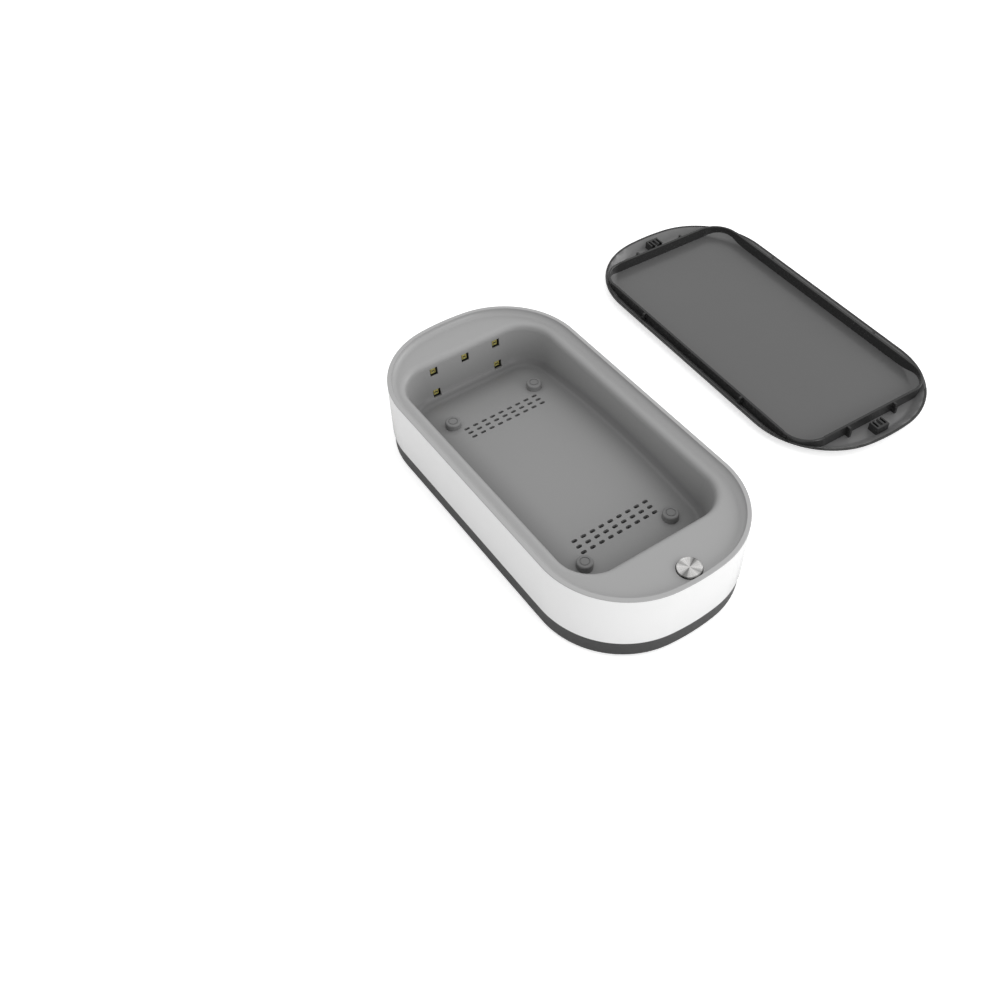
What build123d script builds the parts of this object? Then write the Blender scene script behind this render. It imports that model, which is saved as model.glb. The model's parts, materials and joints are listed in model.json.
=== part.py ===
from build123d import *
import math
import os

os.makedirs("parts", exist_ok=True)

# UV sanitizer box for phones: a tray with ultraviolet lamps in its end walls, a power button and a
# loose smoked lid. Millimetres. The origin is the middle of the pan's flat underside, +Z is up, +Y runs
# along the box away from the button, and the rubber feet stand a little below the origin.

# Plan of the body: a racetrack whose ends are flatter than half circles
box_width = 115.5
box_length = 229.0
corner_radius = 48.7  # turns each long side into the end
end_radius = 130.0  # shallow arc across each end

# Heights of the body
box_height = 45.0  # underside of the pan to the top of the rim
pan_height = 10.7
ledge_drop = 3.5  # rim down to the ledge round the opening
foot_proud = 1.0

# Tray liner
rim_width = 2.2
rim_flange = 0.6  # thickness of the rim where it covers the band
ledge_wall = 2.2
tray_wall = 2.2
rim_fillet = 3.2
ledge_side = 11.0  # ledge's width from the body's outline to the opening
ledge_near = 32.0
ledge_far = 23.5
opening_width = box_width - 2 * ledge_side
opening_near = box_length / 2 - ledge_near  # reach from the middle of the box towards the button
opening_far = box_length / 2 - ledge_far
opening_corner = 19.0
opening_edge_fillet = 4.0
wall_draft = 6.0  # degrees
floor_depth = 22.8  # rim down to the top of the domed floor
floor_radius = 500.0  # the floor falls away towards both ends
floor_fillet = 5.0

# Band and pan
band_wall = 2.2
band_lip = 1.2  # thinner stretch of the band beside the liner's skirt
skirt_wall = 1.6
skirt_depth = 4.3
pan_step = 0.6  # the pan sits this far inside the band's face
pan_wall = 2.2
pan_floor = 2.2
pan_edge_fillet = 1.5
pan_lip_wall = 1.4
pan_lip_height = 3.2
seam = 0.15  # clearance between parts that locate each other

# Vent slots in the floor
vent_columns = 9
vent_rows = 3
vent_pitch_x = 5.75
vent_pitch_y = 4.0
vent_length = 3.4
vent_width = 1.8
vent_from_rest = 10.9  # middle of each grid from the line of the rests beside it

# Phone rests
rest_x = opening_width / 2 - 19.0
rest_y = opening_near - 21.5
rest_radius = 4.4
rest_gap = 0.05
rest_above_floor = 0.2  # the rests stand this far above the top of the dome
rest_sunk = 0.3  # depth of the seat below the lowest floor under a rest
rest_top_fillet = 0.9
rest_peg_radius = 1.9
rest_peg_bead = 0.4
rest_ring_radius = 2.7
rest_ring_width = 0.5
rest_ring_depth = 0.35

# Ultraviolet lamps, on a board behind each end wall
lamp_size = 3.5
lamp_height = 1.8
lamp_cup = 2.5
lamp_cup_depth = 0.4
lamp_chip = 1.1
lamp_spread = opening_width / 2 - 25.6
lamp_top_drop = 7.0  # ledge down the wall to the upper row
lamp_row_pitch = 15.0
window_size = 5.0
board_thickness = 1.6
board_gap = 1.3  # bosses hold the lamp board this far behind the wall
lamp_board_edge = 1.8  # board beyond the outermost lamps
lamp_board_screw_x = lamp_spread / 2

# Case screws and their posts
post_end_x = box_width / 2 - 25.5
post_far_y = box_length / 2 - 17.0
post_near_y = box_length / 2 - 22.0
post_middle_inset = 28.0
post_middle_x = box_width / 2 - post_middle_inset
post_radius = 3.8
post_joint = 14.0  # height at which the pan's posts meet the liner's
screw_radius = 1.45
screw_clearance = 0.05
screw_tip = 19.0
screw_hole_radius = 1.7
screw_head_radius = 2.8
screw_head_height = 1.8
screw_head_recess = 0.5

# Board screws
small_screw_radius = 0.95
small_boss_radius = 2.4
small_head_radius = 1.8
small_head_height = 1.1
small_screw_bite = 2.4

# Button and its switch
button_y = 10.0 - box_length / 2
button_radius = 6.25
button_gap = 0.35
button_proud = 1.7
button_sink = 0.5
button_travel = 0.5
plunger_radius = 5.7
plunger_flange_radius = 7.3
plunger_flange = 1.0
plunger_slack = 0.3
plunger_tip = 0.4
plunger_tip_radius = 2.2
switch_size = 6.0
switch_height = 3.4
switch_stem_radius = 1.7
switch_stem_proud = 0.6
switch_stem_sunk = 1.0
control_board_width = 36.0
control_board_length = 20.0
control_board_y = button_y + 6.5
control_post_x = 13.0
control_post_y = button_y + 12.0

# Power socket
port_width = 8.94
port_height = 3.2
port_depth = 9.0
port_shell = 0.35
port_mouth = 6.0
port_tongue_width = 6.7
port_tongue = 0.7
port_set_back = 0.8
port_gap = 0.25
port_z = 21.0
usb_board_width = 20.0
usb_board_length = 14.0
usb_board_y = box_length / 2 - 10.5
usb_post_x = 7.0
usb_post_y = box_length / 2 - 15.0

# Feet
foot_x = box_width / 2 - 20.0
foot_from_end = 43.0
foot_y = box_length / 2 - foot_from_end
foot_radius = 5.5
foot_recess = 0.5

# Lid, a shallow saucer that rests upside down beside the box
lid_beside = 67.2
lid_x = box_width + lid_beside
lid_y = 37.4
lid_turn = -2.1  # degrees, seen from above
lid_overhang = 0.6  # lid beyond the body's outline
lid_height = 6.0
lid_wall = 2.0
lid_lip = 0.5  # upright edge above the sloping side
lid_slope_run = 7.0
lid_rim_width = 1.2
lid_inner_run = 5.7
lid_outer_blend = 6.0
lid_inner_blend = 4.0
rib_inset_side = 5.55
rib_inset_end = 16.0
rib_width = box_width - 2 * rib_inset_side
rib_length = box_length - 2 * rib_inset_end
rib_corner = 17.0
rib_wall = 1.5
rib_height = 6.8
rib_step = 3.0  # the rib is this much lower round its corners
gusset_from_side = 34.2
gusset_from_end = 52.0
gusset_x = rib_width / 2 - gusset_from_side
gusset_y = rib_length / 2 - gusset_from_end
gusset_end_reach = 3.0
gusset_side_reach = 2.5
gusset_height = 4.5
gusset_wall = 1.5
block_y = box_length / 2 - 9.0
block_width = 9.0
block_length = 6.6
block_back = 1.4  # web that joins the block's fins
block_slot_side = 1.4
block_slot_middle = 2.0
block_slot_pitch = 2.9
block_slot_depth = 4.0
block_gap = 0.6  # closed lid's block to the button's top
magnet_gap = 0.1
magnet_height = 2.5

# Lid sensor under the far ledge
sensor_width = 8.0
sensor_length = 5.0
sensor_height = 2.5
sensor_y = box_length / 2 - 9.0

# Heights and places that follow from the sizes above
ledge_z = box_height - ledge_drop
ledge_under = ledge_z - ledge_wall
floor_top = box_height - floor_depth
opening_length = opening_near + opening_far
vent_offset = rest_y - vent_from_rest
lamp_board_width = 2 * lamp_spread + lamp_size + 2 * lamp_board_edge
opening_middle = (opening_far - opening_near) / 2
dome_centre_z = floor_top - floor_radius
band_top = box_height - rim_flange
skirt_inset = band_lip + seam
skirt_bottom = ledge_under - skirt_depth
tray_depth = ledge_z - pan_floor - seam
table_z = -foot_proud


def racetrack(inset):
    """Plan outline of the body, moved inwards by inset."""
    side = box_width / 2 - inset
    corner_x = box_width / 2 - corner_radius
    end_y = box_length / 2 - end_radius
    corner_y = end_y + math.sqrt((end_radius - corner_radius) ** 2 - corner_x**2)
    turn = math.degrees(math.atan2(corner_y - end_y, corner_x))
    corner = corner_radius - inset
    end = end_radius - inset
    with BuildSketch() as plan:
        with BuildLine():
            Line((side, -corner_y), (side, corner_y))
            CenterArc((corner_x, corner_y), corner, 0, turn)
            CenterArc((0, end_y), end, turn, 180 - 2 * turn)
            CenterArc((-corner_x, corner_y), corner, 180 - turn, turn)
            Line((-side, corner_y), (-side, -corner_y))
            CenterArc((-corner_x, -corner_y), corner, 180, turn)
            CenterArc((0, -end_y), end, 180 + turn, 180 - 2 * turn)
            CenterArc((corner_x, -corner_y), corner, -turn, turn)
        make_face()
    return plan.sketch


def tray_form(wall):
    """The tray's hollow, drafted and domed, grown outwards by wall on every side."""
    mouth = Plane((0, opening_middle, ledge_z), x_dir=(1, 0, 0), z_dir=(0, 0, -1))
    with BuildPart() as form:
        with BuildSketch(mouth):
            RectangleRounded(opening_width + 2 * wall, opening_length + 2 * wall, opening_corner + wall)
        extrude(amount=tray_depth, taper=wall_draft)
        with Locations((0, 0, dome_centre_z)):
            Cylinder(
                floor_radius - wall,
                2 * box_width,
                rotation=(0, 90, 0),
                mode=Mode.SUBTRACT,
            )
        dome = form.faces().filter_by(GeomType.CYLINDER).sort_by(Axis.Z)[0]
        fillet(dome.edges(), floor_fillet + wall)
    return form.part


def wall_plane(end):
    """Plane on the inner face of an end wall, level with the ledge: end is 1 far, -1 near."""
    reach = opening_far if end > 0 else opening_near
    lean = math.radians(wall_draft)
    return Plane(
        (0, end * reach, ledge_z),
        x_dir=(end, 0, 0),
        z_dir=(0, -end * math.cos(lean), math.sin(lean)),
    )


upper_row = -lamp_top_drop
lower_row = upper_row - lamp_row_pitch
lamp_places = [
    (-lamp_spread, upper_row),
    (0, upper_row),
    (lamp_spread, upper_row),
    (-lamp_spread, lower_row),
    (lamp_spread, lower_row),
]
lamp_board_middle = (upper_row + lower_row) / 2
lamp_board_height = lamp_row_pitch + lamp_size + 2 * lamp_board_edge
lamp_screw_places = [(-lamp_board_screw_x, lower_row), (lamp_board_screw_x, lower_row)]
post_places = [
    (-post_end_x, post_far_y),
    (post_end_x, post_far_y),
    (-post_end_x, -post_near_y),
    (post_end_x, -post_near_y),
    (-post_middle_x, 0),
    (post_middle_x, 0),
]
control_posts = [(-control_post_x, control_post_y), (control_post_x, control_post_y)]
usb_posts = [(-usb_post_x, usb_post_y), (usb_post_x, usb_post_y)]
rest_places = [(x, y) for x in (-rest_x, rest_x) for y in (-rest_y, rest_y)]

# Heights down the button's stack and round the power socket
flange_top = ledge_under - plunger_slack
flange_bottom = flange_top - plunger_flange
stem_top = flange_bottom - plunger_tip
switch_top = stem_top - switch_stem_proud
control_board_top = switch_top - switch_height
control_board_bottom = control_board_top - board_thickness
button_top = ledge_z + button_proud
button_bottom = ledge_z - button_sink
usb_board_top = port_z - port_height / 2
usb_board_bottom = usb_board_top - board_thickness

# Heights of the phone rests
rest_top = floor_top + rest_above_floor
rest_seat = math.sqrt(floor_radius**2 - (rest_y + rest_radius) ** 2) + dome_centre_z - rest_sunk
rest_underside = rest_seat - tray_wall

# Base pan
with BuildPart() as base_pan:
    with BuildSketch():
        add(racetrack(pan_step))
    extrude(amount=pan_height)
    fillet(base_pan.edges().group_by(Axis.Z)[0], pan_edge_fillet)
    with BuildSketch(Plane.XY.offset(pan_floor)):
        add(racetrack(pan_step + pan_wall))
    extrude(amount=pan_height, mode=Mode.SUBTRACT)
    lip_inset = band_wall + seam
    with BuildSketch(Plane.XY.offset(pan_height - pan_lip_height)):
        add(racetrack(lip_inset))
        add(racetrack(lip_inset + pan_lip_wall), mode=Mode.SUBTRACT)
    extrude(amount=2 * pan_lip_height)
    with BuildSketch(Plane.XY.offset(pan_floor)):
        with Locations(*post_places):
            Circle(post_radius)
    extrude(amount=post_joint - pan_floor)
    with BuildSketch(Plane.XY.offset(pan_floor)):
        with Locations(*usb_posts):
            Circle(small_boss_radius)
    extrude(amount=usb_board_bottom - pan_floor)
    with BuildSketch():
        with Locations(*post_places):
            Circle(screw_hole_radius)
    extrude(amount=post_joint, mode=Mode.SUBTRACT)
    with BuildSketch():
        with Locations(*post_places):
            Circle(screw_head_radius + seam)
    extrude(amount=screw_head_recess + screw_head_height, mode=Mode.SUBTRACT)
    with BuildSketch(Plane.XY.offset(usb_board_bottom - small_screw_bite - seam)):
        with Locations(*usb_posts):
            Circle(small_screw_radius + screw_clearance)
    extrude(amount=2 * small_screw_bite, mode=Mode.SUBTRACT)
    with BuildSketch():
        with GridLocations(2 * foot_x, 2 * foot_y, 2, 2):
            Circle(foot_radius + seam)
    extrude(amount=foot_recess, mode=Mode.SUBTRACT)
base_pan.part.label = "base_pan"
export_step(base_pan.part, "parts/base_pan.step")

# Rubber feet
foot_number = 0
for x, y in [(x, y) for x in (-foot_x, foot_x) for y in (-foot_y, foot_y)]:
    foot_number += 1
    with BuildPart() as foot:
        with BuildSketch(Plane((x, y, table_z))):
            Circle(foot_radius)
        extrude(amount=foot_proud + foot_recess)
        fillet(foot.edges().group_by(Axis.Z)[0], foot_proud / 2)
    foot.part.label = f"foot_{foot_number}"
    export_step(foot.part, f"parts/foot_{foot_number}.step")

# White band round the body
with BuildPart() as outer_band:
    with BuildSketch(Plane.XY.offset(pan_height)):
        add(racetrack(0))
        add(racetrack(band_wall), mode=Mode.SUBTRACT)
    extrude(amount=band_top - pan_height)
    with BuildSketch(Plane.XY.offset(skirt_bottom - seam)):
        add(racetrack(band_lip))
    extrude(amount=box_height, mode=Mode.SUBTRACT)
    with BuildSketch(Plane((0, box_length / 2 + seam, port_z), x_dir=(1, 0, 0), z_dir=(0, -1, 0))):
        SlotOverall(port_width + 2 * port_gap, port_height + 2 * port_gap)
    extrude(amount=3 * band_wall, mode=Mode.SUBTRACT)
outer_band.part.label = "outer_band"
export_step(outer_band.part, "parts/outer_band.step")

# Tray liner: rim, ledge, skirt and the drafted tub with its domed floor
tray_outside = tray_form(tray_wall)
tray_hollow = tray_form(0)
with BuildPart() as tray_liner:
    with BuildSketch(Plane.XY.offset(ledge_under)):
        add(racetrack(skirt_inset))
    extrude(amount=band_top - ledge_under)
    with BuildSketch(Plane.XY.offset(band_top)):
        add(racetrack(0))
    extrude(amount=rim_flange)
    fillet(tray_liner.edges().group_by(Axis.Z)[-1], rim_flange / 2)
    with BuildSketch(Plane.XY.offset(ledge_under)):
        add(racetrack(skirt_inset))
        add(racetrack(skirt_inset + skirt_wall), mode=Mode.SUBTRACT)
    extrude(amount=-skirt_depth)
    add(tray_outside)
    for end in (1, -1):
        with BuildSketch(wall_plane(end).offset(-tray_wall - board_gap)):
            with Locations(*lamp_screw_places):
                Circle(small_boss_radius)
        extrude(amount=board_gap + 0.6 * tray_wall)
    with BuildSketch(Plane.XY.offset(post_joint + seam)):
        with Locations(*post_places[:4]):
            Circle(post_radius)
    extrude(amount=ledge_under - post_joint)
    with BuildSketch(Plane.XY.offset(post_joint + seam)):
        with Locations(*post_places[4:]):
            Circle(post_radius)
    extrude(amount=floor_top - tray_wall / 2 - post_joint)
    with BuildSketch(Plane.XY.offset(control_board_top)):
        with Locations(*control_posts):
            Circle(small_boss_radius)
    extrude(amount=ledge_under - control_board_top)
    with BuildSketch(Plane.XY.offset(rest_underside)):
        with Locations(*rest_places):
            Circle(rest_radius + pan_lip_wall)
    extrude(amount=tray_wall)
    with BuildSketch(Plane.XY.offset(ledge_z)):
        add(racetrack(rim_width))
    extrude(amount=box_height, mode=Mode.SUBTRACT)
    at_ledge = (ledge_z - seam, ledge_z + seam)
    ledge_face = tray_liner.faces().filter_by(Axis.Z).filter_by_position(Axis.Z, *at_ledge)
    fillet(ledge_face.edges(), rim_fillet)
    add(tray_hollow, mode=Mode.SUBTRACT)
    # Soft edge where the ledge turns down into the tray
    ledge_face = tray_liner.faces().filter_by(Axis.Z).filter_by_position(Axis.Z, *at_ledge)
    fillet(ledge_face.wires().sort_by(SortBy.LENGTH)[0].edges(), opening_edge_fillet)
    # Vent slots
    with BuildSketch(Plane.XY.offset(dome_centre_z + floor_radius)):
        for end in (1, -1):
            with Locations((0, end * vent_offset)):
                with GridLocations(vent_pitch_x, vent_pitch_y, vent_columns, vent_rows):
                    SlotOverall(vent_length, vent_width)
    extrude(amount=-4 * tray_wall, mode=Mode.SUBTRACT)
    # Windows for the lamps, and pilot holes for the lamp boards
    for end in (1, -1):
        with BuildSketch(wall_plane(end).offset(tray_wall)):
            with Locations(*lamp_places):
                Rectangle(window_size, window_size)
        extrude(amount=-3 * tray_wall, mode=Mode.SUBTRACT)
        with BuildSketch(wall_plane(end).offset(-tray_wall - board_gap)):
            with Locations(*lamp_screw_places):
                Circle(small_screw_radius + screw_clearance)
        extrude(amount=small_screw_bite, mode=Mode.SUBTRACT)
    # Seats and peg holes for the phone rests
    with BuildSketch(Plane.XY.offset(rest_seat)):
        with Locations(*rest_places):
            Circle(rest_radius + rest_gap)
    extrude(amount=2 * tray_wall, mode=Mode.SUBTRACT)
    with BuildSketch(Plane.XY.offset(rest_underside)):
        with Locations(*rest_places):
            Circle(rest_peg_radius + rest_gap)
    extrude(amount=2 * tray_wall, mode=Mode.SUBTRACT)
    # Hole for the button, with room for its flange beside the skirt
    with BuildSketch(Plane.XY.offset(ledge_under - skirt_depth)):
        with Locations((0, button_y)):
            Circle(plunger_flange_radius + button_gap)
    extrude(amount=skirt_depth, mode=Mode.SUBTRACT)
    with BuildSketch(Plane.XY.offset(ledge_under)):
        with Locations((0, button_y)):
            Circle(button_radius + button_gap)
    extrude(amount=ledge_drop + ledge_wall, mode=Mode.SUBTRACT)
    # Pilot holes for the case and board screws
    with BuildSketch(Plane.XY.offset(post_joint)):
        with Locations(*post_places):
            Circle(screw_radius + screw_clearance)
    extrude(amount=screw_tip + seam - post_joint, mode=Mode.SUBTRACT)
    with BuildSketch(Plane.XY.offset(control_board_top)):
        with Locations(*control_posts):
            Circle(small_screw_radius + screw_clearance)
    extrude(amount=small_screw_bite + seam, mode=Mode.SUBTRACT)
tray_liner.part.label = "tray_liner"
export_step(tray_liner.part, "parts/tray_liner.step")

# Rubber phone rests, pegged through the floor
rest_number = 0
for x, y in rest_places:
    rest_number += 1
    with BuildPart() as phone_rest:
        with BuildSketch(Plane((x, y, rest_seat))):
            Circle(rest_radius)
        extrude(amount=rest_top - rest_seat)
        fillet(phone_rest.edges().group_by(Axis.Z)[-1], rest_top_fillet)
        with BuildSketch(Plane((x, y, rest_top - rest_ring_depth))):
            Circle(rest_ring_radius)
            Circle(rest_ring_radius - rest_ring_width, mode=Mode.SUBTRACT)
        extrude(amount=rest_ring_depth, mode=Mode.SUBTRACT)
        with BuildSketch(Plane((x, y, rest_seat))):
            Circle(rest_peg_radius)
        extrude(amount=rest_underside - rest_seat - rest_gap)
        with BuildSketch(Plane((x, y, rest_underside - rest_gap))):
            Circle(rest_peg_radius + rest_peg_bead)
        extrude(amount=-2 * rest_peg_bead)
    phone_rest.part.label = f"phone_rest_{rest_number}"
    export_step(phone_rest.part, f"parts/phone_rest_{rest_number}.step")

# Lamp boards and their lamps
for end, side in ((1, "far"), (-1, "near")):
    board_face = wall_plane(end).offset(-tray_wall - board_gap)
    with BuildPart() as uv_board:
        with BuildSketch(board_face):
            with Locations((0, lamp_board_middle)):
                Rectangle(lamp_board_width, lamp_board_height)
            with Locations(*lamp_screw_places):
                Circle(small_screw_radius + seam, mode=Mode.SUBTRACT)
        extrude(amount=-board_thickness)
    uv_board.part.label = f"uv_board_{side}"
    export_step(uv_board.part, f"parts/uv_board_{side}.step")
    lamp_number = 0
    for across, up in lamp_places:
        lamp_number += 1
        with BuildPart() as uv_led:
            with BuildSketch(board_face):
                with Locations((across, up)):
                    Rectangle(lamp_size, lamp_size)
            extrude(amount=lamp_height)
            with BuildSketch(board_face.offset(lamp_height - lamp_cup_depth)):
                with Locations((across, up)):
                    Rectangle(lamp_cup, lamp_cup)
                    Rectangle(lamp_chip, lamp_chip, mode=Mode.SUBTRACT)
            extrude(amount=lamp_cup_depth, mode=Mode.SUBTRACT)
        uv_led.part.label = f"uv_led_{side}_{lamp_number}"
        export_step(uv_led.part, f"parts/uv_led_{side}_{lamp_number}.step")

# Control board with the power switch
with BuildPart() as control_board:
    with BuildSketch(Plane.XY.offset(control_board_bottom)):
        with Locations((0, control_board_y)):
            Rectangle(control_board_width, control_board_length)
        with Locations(*control_posts):
            Circle(small_screw_radius + seam, mode=Mode.SUBTRACT)
    extrude(amount=board_thickness)
control_board.part.label = "control_board"
export_step(control_board.part, "parts/control_board.step")

with BuildPart() as tact_switch:
    with BuildSketch(Plane((0, button_y, control_board_top))):
        Rectangle(switch_size, switch_size)
    extrude(amount=switch_height)
    chamfer(tact_switch.edges().filter_by(Axis.Z), switch_size / 12)
    with BuildSketch(Plane((0, button_y, switch_top - switch_stem_sunk - button_travel - seam))):
        Circle(switch_stem_radius + screw_clearance)
    extrude(amount=switch_height, mode=Mode.SUBTRACT)
tact_switch.part.label = "tact_switch"
export_step(tact_switch.part, "parts/tact_switch.step")

# Moving parts of the button
with BuildPart() as switch_stem:
    with BuildSketch(Plane((0, button_y, switch_top - switch_stem_sunk))):
        Circle(switch_stem_radius)
    extrude(amount=switch_stem_sunk + switch_stem_proud)
switch_stem.part.label = "switch_stem"
export_step(switch_stem.part, "parts/switch_stem.step")

with BuildPart() as button_plunger:
    with BuildSketch(Plane((0, button_y, stem_top))):
        Circle(plunger_tip_radius)
    extrude(amount=plunger_tip)
    with BuildSketch(Plane((0, button_y, flange_bottom))):
        Circle(plunger_flange_radius)
    extrude(amount=plunger_flange)
    with BuildSketch(Plane((0, button_y, flange_top))):
        Circle(plunger_radius)
    extrude(amount=button_bottom - flange_top)
button_plunger.part.label = "button_plunger"
export_step(button_plunger.part, "parts/button_plunger.step")

with BuildPart() as button_cap:
    with BuildSketch(Plane((0, button_y, button_bottom))):
        Circle(button_radius)
    extrude(amount=button_top - button_bottom)
    fillet(button_cap.edges().group_by(Axis.Z)[-1], button_sink)
button_cap.part.label = "button_cap"
export_step(button_cap.part, "parts/button_cap.step")

# Power socket and its board
with BuildPart() as usb_board:
    with BuildSketch(Plane.XY.offset(usb_board_bottom)):
        with Locations((0, usb_board_y)):
            Rectangle(usb_board_width, usb_board_length)
        with Locations(*usb_posts):
            Circle(small_screw_radius + seam, mode=Mode.SUBTRACT)
    extrude(amount=board_thickness)
usb_board.part.label = "usb_board"
export_step(usb_board.part, "parts/usb_board.step")

port_face = Plane((0, box_length / 2 - port_set_back, port_z), x_dir=(1, 0, 0), z_dir=(0, -1, 0))
with BuildPart() as usb_socket:
    with BuildSketch(port_face):
        SlotOverall(port_width, port_height)
    extrude(amount=port_depth)
    with BuildSketch(port_face):
        SlotOverall(port_width - 2 * port_shell, port_height - 2 * port_shell)
        Rectangle(port_tongue_width, port_tongue, mode=Mode.SUBTRACT)
    extrude(amount=port_mouth, mode=Mode.SUBTRACT)
usb_socket.part.label = "usb_socket"
export_step(usb_socket.part, "parts/usb_socket.step")

# Sensor under the far ledge that tells when the lid is on
with BuildPart() as lid_sensor:
    with BuildSketch(Plane((0, sensor_y, ledge_under))):
        Rectangle(sensor_width, sensor_length)
    extrude(amount=-sensor_height)
    chamfer(lid_sensor.edges().group_by(Axis.Z)[0], sensor_height / 6)
lid_sensor.part.label = "lid_sensor"
export_step(lid_sensor.part, "parts/lid_sensor.step")


def screw(head_plane, places, shank, head, head_height, reach):
    """Cross-head screws with their heads standing on head_plane and shanks running down reach."""
    with BuildPart() as screws:
        with BuildSketch(head_plane):
            with Locations(*places):
                Circle(head)
        extrude(amount=head_height)
        with BuildSketch(head_plane):
            with Locations(*places):
                Circle(shank)
        extrude(amount=-reach)
        with BuildSketch(head_plane.offset(head_height)):
            with Locations(*places):
                Rectangle(1.3 * head, head / 4)
                Rectangle(head / 4, 1.3 * head)
        extrude(amount=-head_height / 2, mode=Mode.SUBTRACT)
    return screws.part


# Screws that hold the pan to the liner
from_below = Plane((0, 0, screw_head_recess + screw_head_height), x_dir=(1, 0, 0), z_dir=(0, 0, -1))
places_below = [(x, -y) for x, y in post_places]
case_reach = screw_tip - screw_head_recess - screw_head_height
case_screws = screw(
    from_below, places_below, screw_radius, screw_head_radius, screw_head_height, case_reach
)
case_screws.label = "case_screws"
export_step(case_screws, "parts/case_screws.step")

# Screws that hold the boards
small_reach = board_thickness + small_screw_bite - seam
control_head = Plane((0, 0, control_board_bottom), x_dir=(1, 0, 0), z_dir=(0, 0, -1))
small_screws = [
    (wall_plane(1).offset(-tray_wall - board_gap - board_thickness), lamp_screw_places),
    (wall_plane(-1).offset(-tray_wall - board_gap - board_thickness), lamp_screw_places),
]
with BuildPart() as board_screws:
    for face, places in small_screws:
        back = Plane(face.origin, x_dir=face.x_dir, z_dir=-face.z_dir)
        turned = [(x, -y) for x, y in places]
        add(screw(back, turned, small_screw_radius, small_head_radius, small_head_height, small_reach))
    turned = [(x, -y) for x, y in control_posts]
    add(screw(control_head, turned, small_screw_radius, small_head_radius, small_head_height, small_reach))
    add(
        screw(
            Plane.XY.offset(usb_board_top),
            usb_posts,
            small_screw_radius,
            small_head_radius,
            small_head_height,
            small_reach,
        )
    )
board_screws.part.label = "board_screws"
export_step(board_screws.part, "parts/board_screws.step")

# Lid, upside down on the table: its panel is underneath and its rib frame stands up
lid_turn_angle = math.radians(lid_turn)
lid_table = Plane(
    (lid_x, lid_y, table_z),
    x_dir=(math.cos(lid_turn_angle), math.sin(lid_turn_angle), 0),
    z_dir=(0, 0, 1),
)
lid_panel = lid_table.offset(lid_wall)
lid_lip_plane = lid_table.offset(lid_height - lid_lip)
block_top = lid_height + box_height - button_top - block_gap
with BuildPart() as lid_shell:
    with BuildSketch(lid_table):
        add(racetrack(lid_slope_run - lid_overhang))
    with BuildSketch(lid_lip_plane):
        add(racetrack(-lid_overhang))
    loft(ruled=True)
    with BuildSketch(lid_lip_plane):
        add(racetrack(-lid_overhang))
    extrude(amount=lid_lip)
    fillet(lid_shell.faces().sort_by(Axis.Z)[0].edges(), lid_outer_blend)
    with BuildSketch(lid_panel):
        add(racetrack(lid_rim_width + lid_inner_run - lid_overhang))
    with BuildSketch(lid_table.offset(lid_height)):
        add(racetrack(lid_rim_width - lid_overhang))
    loft(ruled=True, mode=Mode.SUBTRACT)
    panel_face = lid_shell.faces().filter_by(Axis.Z).sort_by(Axis.Z)[1]
    fillet(panel_face.edges(), lid_inner_blend)
    with BuildSketch(lid_panel):
        RectangleRounded(rib_width, rib_length, rib_corner)
        offset(amount=-rib_wall, mode=Mode.SUBTRACT)
    extrude(amount=rib_height)
    with BuildSketch(lid_panel.offset(rib_height - rib_step)):
        with GridLocations(rib_width - rib_corner, rib_length - rib_corner, 2, 2):
            Rectangle(rib_corner, rib_corner)
    extrude(amount=2 * rib_step, mode=Mode.SUBTRACT)
    with BuildSketch(lid_panel):
        with GridLocations(2 * gusset_x, rib_length - rib_wall + gusset_end_reach, 2, 2):
            Rectangle(gusset_wall, gusset_end_reach + rib_wall)
        with GridLocations(rib_width - rib_wall + gusset_side_reach, 2 * gusset_y, 2, 2):
            Rectangle(gusset_side_reach + rib_wall, gusset_wall)
    extrude(amount=gusset_height)
    with BuildSketch(lid_panel):
        with GridLocations(0, 2 * block_y, 1, 2):
            Rectangle(block_width, block_length)
    extrude(amount=block_top - lid_wall)
    slot_plane = lid_table.offset(block_top - block_slot_depth)
    slot_length = block_length - block_back
    slot_y = block_y - block_back / 2
    with BuildSketch(slot_plane):
        with GridLocations(0, 2 * slot_y, 1, 2):
            Rectangle(block_slot_middle, slot_length)
        with GridLocations(2 * block_slot_pitch, 2 * slot_y, 2, 2):
            Rectangle(block_slot_side, slot_length)
    extrude(amount=block_slot_depth, mode=Mode.SUBTRACT)
lid_shell.part.label = "lid_shell"
export_step(lid_shell.part, "parts/lid_shell.step")

# Magnets in the middle slots of the lid's blocks
for end, side in ((1, "far"), (-1, "near")):
    with BuildPart() as lid_magnet:
        with BuildSketch(slot_plane):
            with Locations((0, end * slot_y)):
                Rectangle(block_slot_middle - 2 * magnet_gap, slot_length - 2 * magnet_gap)
        extrude(amount=magnet_height)
    lid_magnet.part.label = f"lid_magnet_{side}"
    export_step(lid_magnet.part, f"parts/lid_magnet_{side}.step")
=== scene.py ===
import json
import math

import bmesh
import bpy
from mathutils import Matrix, Vector


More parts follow.
